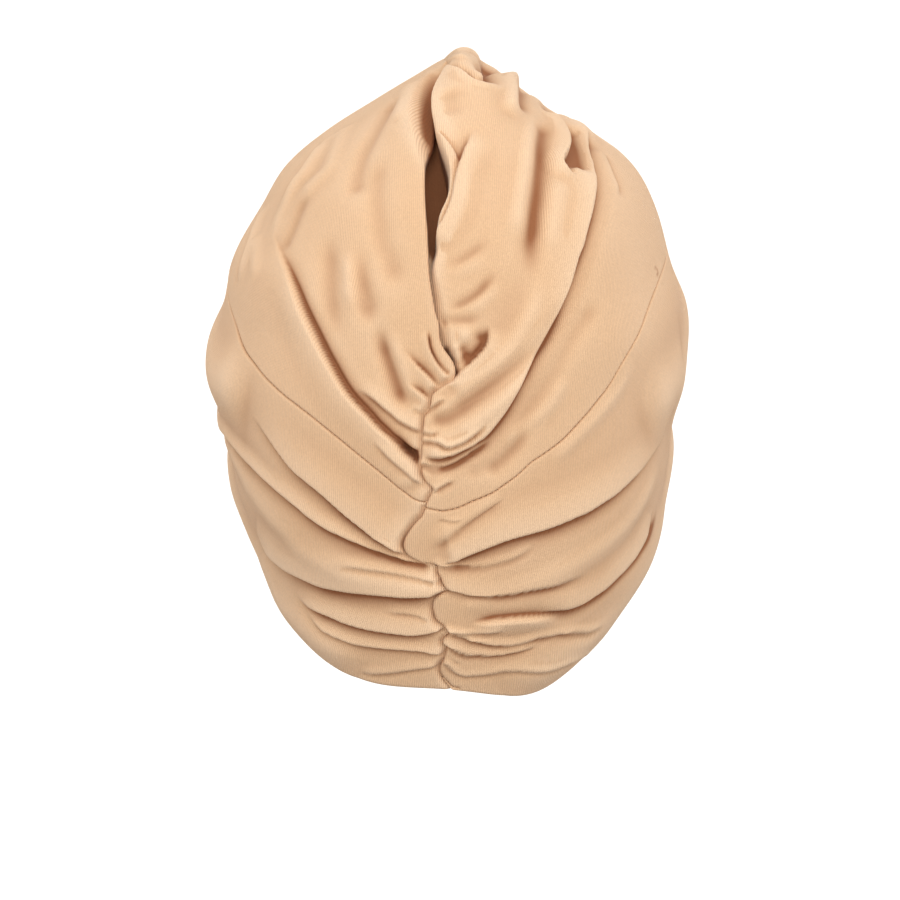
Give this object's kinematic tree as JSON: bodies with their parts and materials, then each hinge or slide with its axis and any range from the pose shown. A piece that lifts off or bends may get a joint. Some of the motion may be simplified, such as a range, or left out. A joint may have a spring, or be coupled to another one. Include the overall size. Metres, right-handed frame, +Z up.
{
  "type": "turban hat",
  "caption": "Pre-tied turban hat in sand-coloured jersey: pleated bands lap at the nape, and draped crowns meet in a deep open pocket at the back",
  "frame": {"origin": "middle of the head inside the hat, 44 mm above the lowest point of the nape's rim", "axes": "+Z up toward the crown, -Y toward the forehead, +Y toward the nape, +X toward the wearer's left"},
  "size_m": [0.1869, 0.208, 0.2409],
  "materials": {
    "band_jersey": "matte jersey knit",
    "crown_jersey": "matte jersey knit"
  },
  "bodies": {
    "root": {"band_left": "band_jersey", "band_right": "band_jersey", "crown_left": "crown_jersey", "crown_right": "crown_jersey"}
  },
  "joints": []
}
